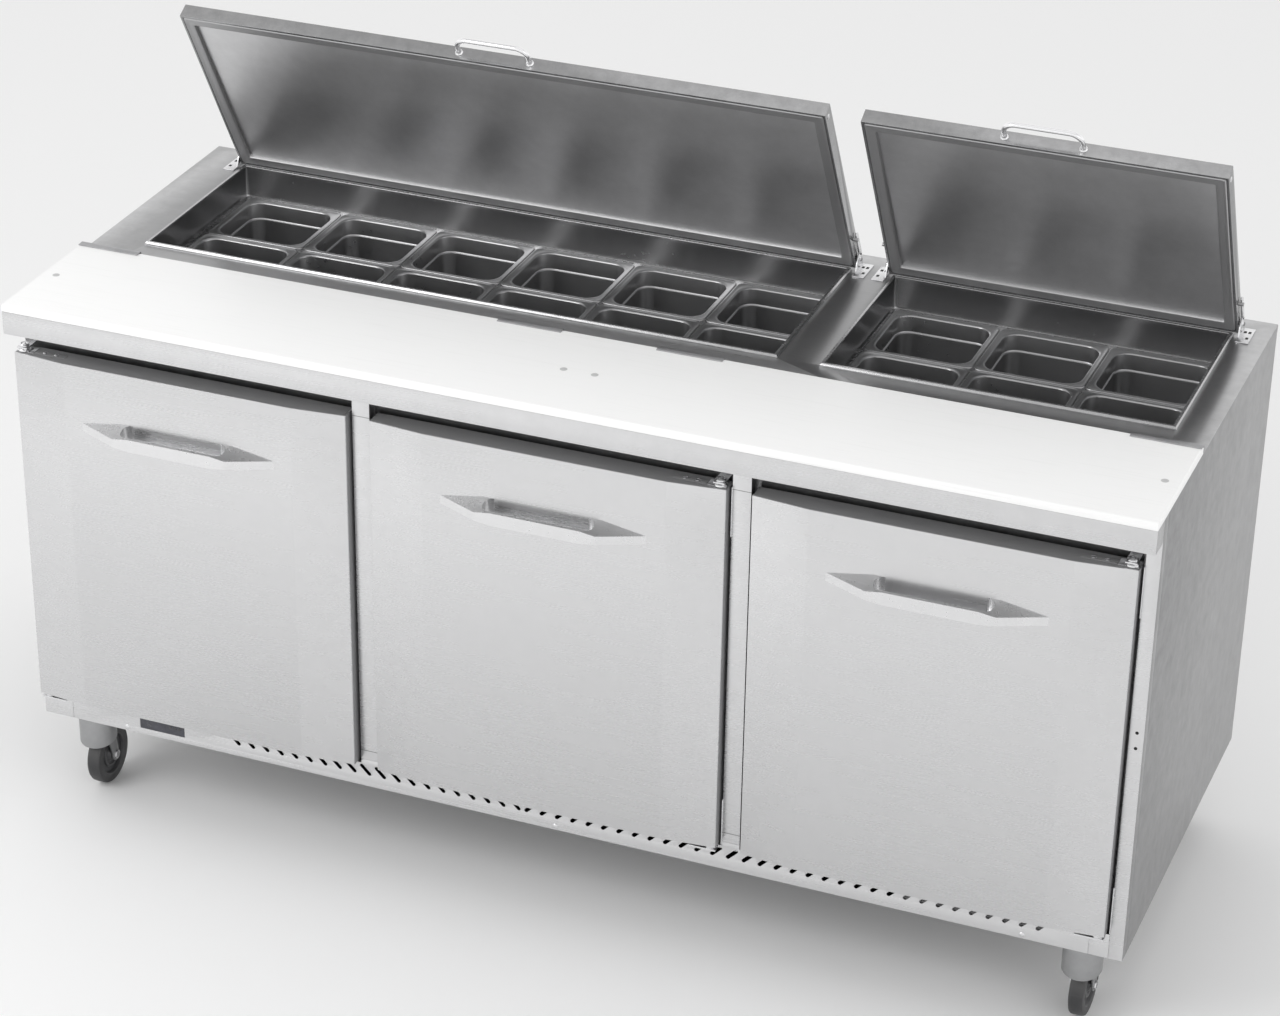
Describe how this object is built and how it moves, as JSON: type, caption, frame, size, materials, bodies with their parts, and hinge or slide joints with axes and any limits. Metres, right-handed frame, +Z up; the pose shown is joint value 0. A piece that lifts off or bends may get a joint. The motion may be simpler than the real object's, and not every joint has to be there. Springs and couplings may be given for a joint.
{
  "type": "sandwich prep table",
  "caption": "Refrigerated sandwich prep table on casters: work board in front, lift-out food pans under hinged lids, cold cabinet with hinged doors below.",
  "frame": {"origin": "middle of the whole footprint, on the floor", "axes": "+X along the counter to the right, doors face -Y, +Z up"},
  "size_m": [1.829, 0.742, 1.2687],
  "materials": {
    "case_steel": "satin",
    "liner_steel": "stippled",
    "counter_steel": "satin",
    "well_steel": "satin",
    "bracket_steel": "satin",
    "clip_steel": "satin",
    "hinge_steel": "satin",
    "grille_steel": "satin",
    "controller": "gloss",
    "shelf_coating": "epoxy",
    "unit_paint": "semi-gloss",
    "coil_aluminium": "finned",
    "board": "smooth",
    "door_steel": "satin",
    "door_liner": "textured",
    "gasket": "matte",
    "door_handle": "satin",
    "lid_steel": "satin",
    "lid_liner": "satin grey inner skin over foam",
    "lid_handle": "polished",
    "pan_steel": "satin",
    "fan_aluminium": "satin",
    "caster_zinc": "zinc",
    "caster_tyre": "matte"
  },
  "bodies": {
    "table": {"outer_case": "case_steel", "inner_liner": "liner_steel", "countertop": "counter_steel", "well_liners": "well_steel", "pan_divider_bars": "well_steel", "lid_hinge_brackets": "bracket_steel", "board_clips": "clip_steel", "door_hinge_brackets": "hinge_steel", "grille_panel": "grille_steel", "temperature_controller": "controller", "wire_shelves": "shelf_coating", "condensing_unit": "unit_paint", "evaporator": "coil_aluminium"},
    "board": {"cutting_board": "board"},
    "door_left": {"door_left_panel": "door_steel", "door_left_liner": "door_liner", "door_left_gasket": "gasket", "door_left_handle": "door_handle"},
    "door_middle": {"door_middle_panel": "door_steel", "door_middle_liner": "door_liner", "door_middle_gasket": "gasket", "door_middle_handle": "door_handle"},
    "door_right": {"door_right_panel": "door_steel", "door_right_liner": "door_liner", "door_right_gasket": "gasket", "door_right_handle": "door_handle"},
    "lid_long": {"lid_long_cover": "lid_steel", "lid_long_liner": "lid_liner", "lid_long_handle": "lid_handle"},
    "lid_short": {"lid_short_cover": "lid_steel", "lid_short_liner": "lid_liner", "lid_short_handle": "lid_handle"},
    "pan_long_front_1": {"pan_long_front_1": "pan_steel"},
    "pan_long_rear_1": {"pan_long_rear_1": "pan_steel"},
    "pan_long_front_2": {"pan_long_front_2": "pan_steel"},
    "pan_long_rear_2": {"pan_long_rear_2": "pan_steel"},
    "pan_long_front_3": {"pan_long_front_3": "pan_steel"},
    "pan_long_rear_3": {"pan_long_rear_3": "pan_steel"},
    "pan_long_front_4": {"pan_long_front_4": "pan_steel"},
    "pan_long_rear_4": {"pan_long_rear_4": "pan_steel"},
    "pan_long_front_5": {"pan_long_front_5": "pan_steel"},
    "pan_long_rear_5": {"pan_long_rear_5": "pan_steel"},
    "pan_long_front_6": {"pan_long_front_6": "pan_steel"},
    "pan_long_rear_6": {"pan_long_rear_6": "pan_steel"},
    "pan_short_front_1": {"pan_short_front_1": "pan_steel"},
    "pan_short_rear_1": {"pan_short_rear_1": "pan_steel"},
    "pan_short_front_2": {"pan_short_front_2": "pan_steel"},
    "pan_short_rear_2": {"pan_short_rear_2": "pan_steel"},
    "pan_short_front_3": {"pan_short_front_3": "pan_steel"},
    "pan_short_rear_3": {"pan_short_rear_3": "pan_steel"},
    "condenser_fan": {"condenser_fan": "fan_aluminium"},
    "evaporator_fan": {"evaporator_fan": "fan_aluminium"},
    "caster_front_left_fork": {"caster_front_left_fork": "caster_zinc"},
    "caster_front_left_wheel": {"caster_front_left_wheel": "caster_tyre"},
    "caster_front_right_fork": {"caster_front_right_fork": "caster_zinc"},
    "caster_front_right_wheel": {"caster_front_right_wheel": "caster_tyre"},
    "caster_rear_left_fork": {"caster_rear_left_fork": "caster_zinc"},
    "caster_rear_left_wheel": {"caster_rear_left_wheel": "caster_tyre"},
    "caster_rear_right_fork": {"caster_rear_right_fork": "caster_zinc"},
    "caster_rear_right_wheel": {"caster_rear_right_wheel": "caster_tyre"}
  },
  "joints": [
    {"name": "board_slide", "type": "slide", "parent": "table", "child": "board", "axis": [0, -1, 0], "range_m": [0, 0.05]},
    {"name": "door_left_hinge", "type": "hinge", "parent": "table", "child": "door_left", "pos_m": [-0.902, -0.32, 0.5085], "axis": [0, 0, -1], "range_deg": [0, 110], "stiffness_Nm_per_rad": 1.2, "springref_deg": -85.94},
    {"name": "door_middle_hinge", "type": "hinge", "parent": "table", "child": "door_middle", "pos_m": [0.261, -0.32, 0.5085], "axis": [0, 0, 1], "range_deg": [0, 110], "stiffness_Nm_per_rad": 1.2, "springref_deg": -85.94},
    {"name": "door_right_hinge", "type": "hinge", "parent": "table", "child": "door_right", "pos_m": [0.875, -0.32, 0.5085], "axis": [0, 0, 1], "range_deg": [0, 110], "stiffness_Nm_per_rad": 1.2, "springref_deg": -85.94},
    {"name": "lid_long_hinge", "type": "hinge", "parent": "table", "child": "lid_long", "pos_m": [-0.293, 0.313, 0.918], "axis": [-1, 0, 0], "range_deg": [-60, 0]},
    {"name": "lid_short_hinge", "type": "hinge", "parent": "table", "child": "lid_short", "pos_m": [0.5875, 0.313, 0.918], "axis": [-1, 0, 0], "range_deg": [-60, 0]},
    {"name": "pan_long_front_1_lift", "type": "slide", "parent": "table", "child": "pan_long_front_1", "axis": [0, 0, 1], "range_m": [0, 0.16]},
    {"name": "pan_long_rear_1_lift", "type": "slide", "parent": "table", "child": "pan_long_rear_1", "axis": [0, 0, 1], "range_m": [0, 0.06]},
    {"name": "pan_long_front_2_lift", "type": "slide", "parent": "table", "child": "pan_long_front_2", "axis": [0, 0, 1], "range_m": [0, 0.16]},
    {"name": "pan_long_rear_2_lift", "type": "slide", "parent": "table", "child": "pan_long_rear_2", "axis": [0, 0, 1], "range_m": [0, 0.06]},
    {"name": "pan_long_front_3_lift", "type": "slide", "parent": "table", "child": "pan_long_front_3", "axis": [0, 0, 1], "range_m": [0, 0.16]},
    {"name": "pan_long_rear_3_lift", "type": "slide", "parent": "table", "child": "pan_long_rear_3", "axis": [0, 0, 1], "range_m": [0, 0.06]},
    {"name": "pan_long_front_4_lift", "type": "slide", "parent": "table", "child": "pan_long_front_4", "axis": [0, 0, 1], "range_m": [0, 0.16]},
    {"name": "pan_long_rear_4_lift", "type": "slide", "parent": "table", "child": "pan_long_rear_4", "axis": [0, 0, 1], "range_m": [0, 0.06]},
    {"name": "pan_long_front_5_lift", "type": "slide", "parent": "table", "child": "pan_long_front_5", "axis": [0, 0, 1], "range_m": [0, 0.16]},
    {"name": "pan_long_rear_5_lift", "type": "slide", "parent": "table", "child": "pan_long_rear_5", "axis": [0, 0, 1], "range_m": [0, 0.06]},
    {"name": "pan_long_front_6_lift", "type": "slide", "parent": "table", "child": "pan_long_front_6", "axis": [0, 0, 1], "range_m": [0, 0.16]},
    {"name": "pan_long_rear_6_lift", "type": "slide", "parent": "table", "child": "pan_long_rear_6", "axis": [0, 0, 1], "range_m": [0, 0.06]},
    {"name": "pan_short_front_1_lift", "type": "slide", "parent": "table", "child": "pan_short_front_1", "axis": [0, 0, 1], "range_m": [0, 0.16]},
    {"name": "pan_short_rear_1_lift", "type": "slide", "parent": "table", "child": "pan_short_rear_1", "axis": [0, 0, 1], "range_m": [0, 0.06]},
    {"name": "pan_short_front_2_lift", "type": "slide", "parent": "table", "child": "pan_short_front_2", "axis": [0, 0, 1], "range_m": [0, 0.16]},
    {"name": "pan_short_rear_2_lift", "type": "slide", "parent": "table", "child": "pan_short_rear_2", "axis": [0, 0, 1], "range_m": [0, 0.06]},
    {"name": "pan_short_front_3_lift", "type": "slide", "parent": "table", "child": "pan_short_front_3", "axis": [0, 0, 1], "range_m": [0, 0.16]},
    {"name": "pan_short_rear_3_lift", "type": "slide", "parent": "table", "child": "pan_short_rear_3", "axis": [0, 0, 1], "range_m": [0, 0.06]},
    {"name": "condenser_fan_spin", "type": "hinge", "parent": "table", "child": "condenser_fan", "pos_m": [-0.485, 0.2932, 0.2905], "axis": [0, 1, 0], "continuous": true},
    {"name": "evaporator_fan_spin", "type": "hinge", "parent": "table", "child": "evaporator_fan", "pos_m": [0.15, 0.2282, 0.64], "axis": [0, 1, 0], "continuous": true},
    {"name": "caster_front_left_swivel", "type": "hinge", "parent": "table", "child": "caster_front_left_fork", "pos_m": [-0.845, -0.272, 0.152], "axis": [0, 0, 1], "continuous": true},
    {"name": "caster_front_left_roll", "type": "hinge", "parent": "caster_front_left_fork", "child": "caster_front_left_wheel", "pos_m": [-0.845, -0.247, 0.051], "axis": [1, 0, 0], "continuous": true},
    {"name": "caster_front_right_swivel", "type": "hinge", "parent": "table", "child": "caster_front_right_fork", "pos_m": [0.845, -0.272, 0.152], "axis": [0, 0, 1], "continuous": true},
    {"name": "caster_front_right_roll", "type": "hinge", "parent": "caster_front_right_fork", "child": "caster_front_right_wheel", "pos_m": [0.845, -0.247, 0.051], "axis": [1, 0, 0], "continuous": true},
    {"name": "caster_rear_left_swivel", "type": "hinge", "parent": "table", "child": "caster_rear_left_fork", "pos_m": [-0.845, 0.285, 0.152], "axis": [0, 0, 1], "continuous": true},
    {"name": "caster_rear_left_roll", "type": "hinge", "parent": "caster_rear_left_fork", "child": "caster_rear_left_wheel", "pos_m": [-0.845, 0.31, 0.051], "axis": [1, 0, 0], "continuous": true},
    {"name": "caster_rear_right_swivel", "type": "hinge", "parent": "table", "child": "caster_rear_right_fork", "pos_m": [0.845, 0.285, 0.152], "axis": [0, 0, 1], "continuous": true},
    {"name": "caster_rear_right_roll", "type": "hinge", "parent": "caster_rear_right_fork", "child": "caster_rear_right_wheel", "pos_m": [0.845, 0.31, 0.051], "axis": [1, 0, 0], "continuous": true}
  ]
}
